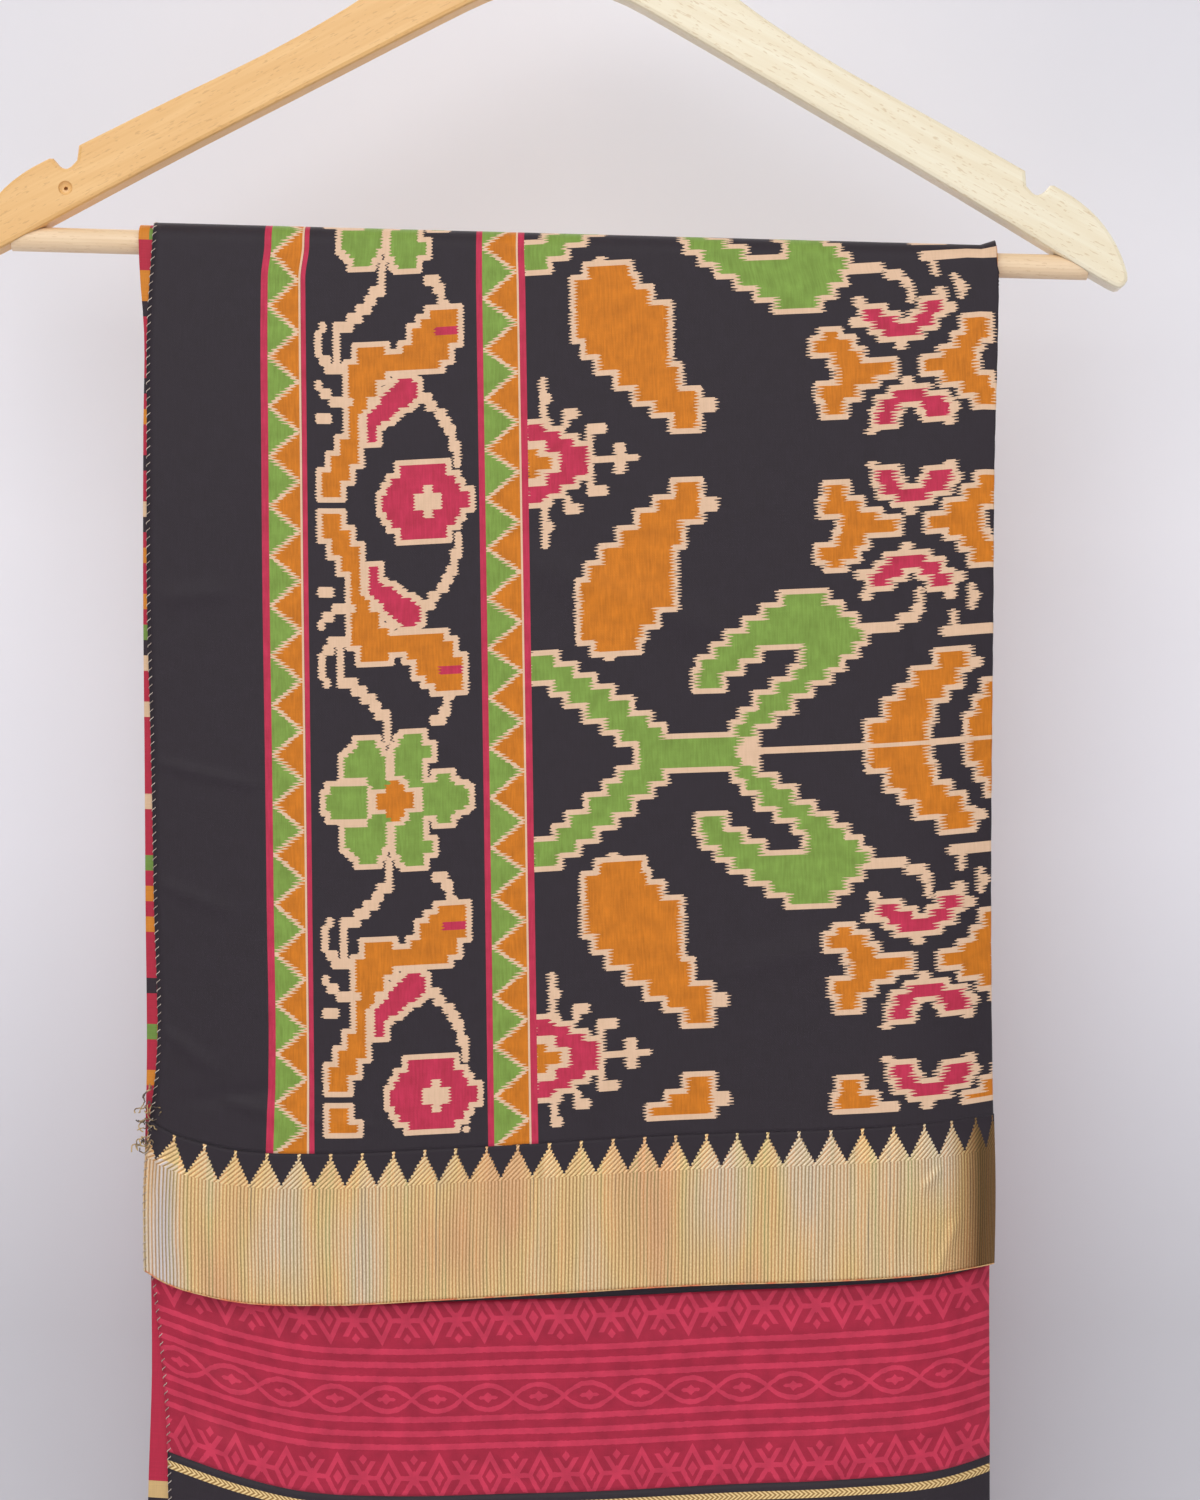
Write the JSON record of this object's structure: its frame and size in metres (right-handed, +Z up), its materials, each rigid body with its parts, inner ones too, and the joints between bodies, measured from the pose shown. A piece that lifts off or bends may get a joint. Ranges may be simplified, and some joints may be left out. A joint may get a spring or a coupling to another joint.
{
  "type": "folded saree on a wooden hanger",
  "caption": "Printed silk saree folded lengthwise and hung over the bar of a wooden hanger, gold woven border at its front hem and a red band behind it.",
  "frame": {"origin": "inside top of the hook, where it rests on its rail", "axes": "+Z up, +X to the viewer's right, -Y towards the viewer, who sees the printed front flap"},
  "size_m": [0.4516, 0.0271, 0.8982],
  "materials": {
    "black_printed_silk": "soft silk with a low sheen, printed in ochre, green, crimson and cream",
    "black_silk": "plain soft silk with a low sheen",
    "red_silk": "silk printed tone on tone in two reds",
    "zari_border": "ribbed gold thread weave with a metallic sheen",
    "folded_silk": "edges of the folded silk layers",
    "bar_wood": "sanded round wood, clear lacquer",
    "golden_wood": "golden wood, clear satin lacquer",
    "pale_wood": "pale straight-grained wood, clear satin lacquer",
    "hook_steel": "bright plated wire"
  },
  "bodies": {
    "root": {"front_field": "black_printed_silk", "front_zari_border": "zari_border", "back_field": "black_printed_silk", "back_red_band": "red_silk", "back_hem_field": "black_silk", "back_zari_border": "zari_border", "hidden_folds": "folded_silk", "inner_field": "black_silk", "inner_red_band": "red_silk", "inner_hem_field": "black_silk", "inner_zari_border": "zari_border", "hanger_bar": "bar_wood", "hanger_arm_left": "golden_wood", "hanger_arm_right": "pale_wood", "hanger_hook": "hook_steel"}
  },
  "joints": []
}
